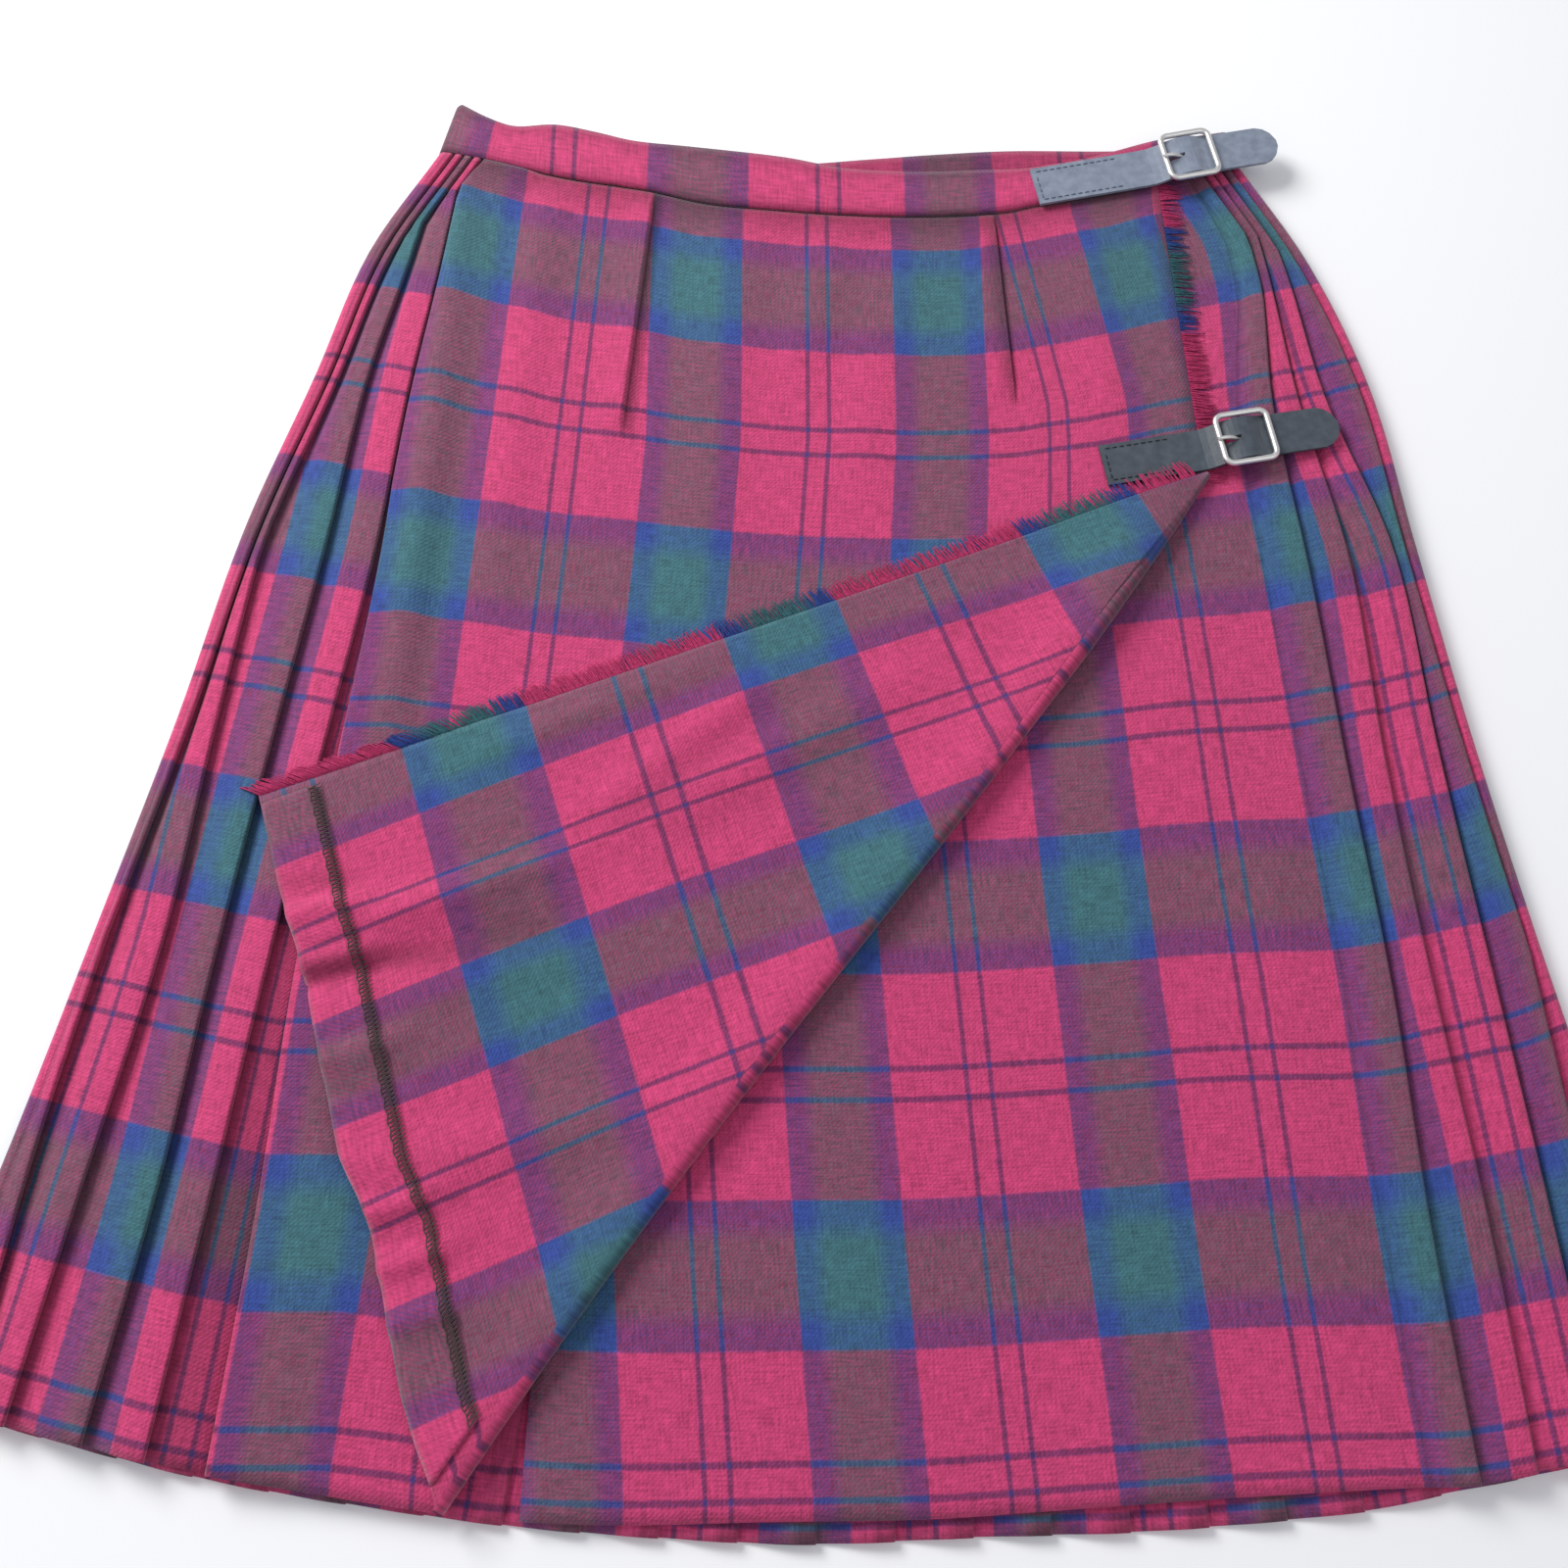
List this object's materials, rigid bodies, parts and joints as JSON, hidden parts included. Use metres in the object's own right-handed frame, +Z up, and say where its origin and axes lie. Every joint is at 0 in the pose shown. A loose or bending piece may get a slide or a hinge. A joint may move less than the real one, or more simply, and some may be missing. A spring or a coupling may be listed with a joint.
{
  "type": "pleated wrap skirt",
  "caption": "Knee-length checked wool wrap skirt laid flat, with knife pleats, a turned-back fringed over apron and two leather strap fastenings.",
  "frame": {"origin": "middle of the bounding box's lower face, on the surface that the skirt lies on", "axes": "+Z up out of the garment's front, +Y towards the waist, +X to the right as the garment is seen"},
  "size_m": [0.6272, 0.5994, 0.0167],
  "materials": {
    "wool": "matte worsted twill, woven in a crimson, green and blue check",
    "fringe": "loose wool threads, matte",
    "leather": "smooth black leather with a soft sheen, stitched near its edge",
    "nickel": "polished nickel plate"
  },
  "bodies": {
    "root": {"over_apron": "wool", "under_apron": "wool", "pleats_left": "wool", "pleats_right": "wool", "pleats_back": "wool", "apron_hem_turnup": "wool", "waistband": "wool", "fringe_upper": "fringe", "fringe_lower": "fringe", "strap_upper": "leather", "strap_lower": "leather", "tab_upper": "leather", "tab_lower": "leather", "buckle_upper": "nickel", "buckle_lower": "nickel", "prong_upper": "nickel", "prong_lower": "nickel"}
  },
  "joints": []
}
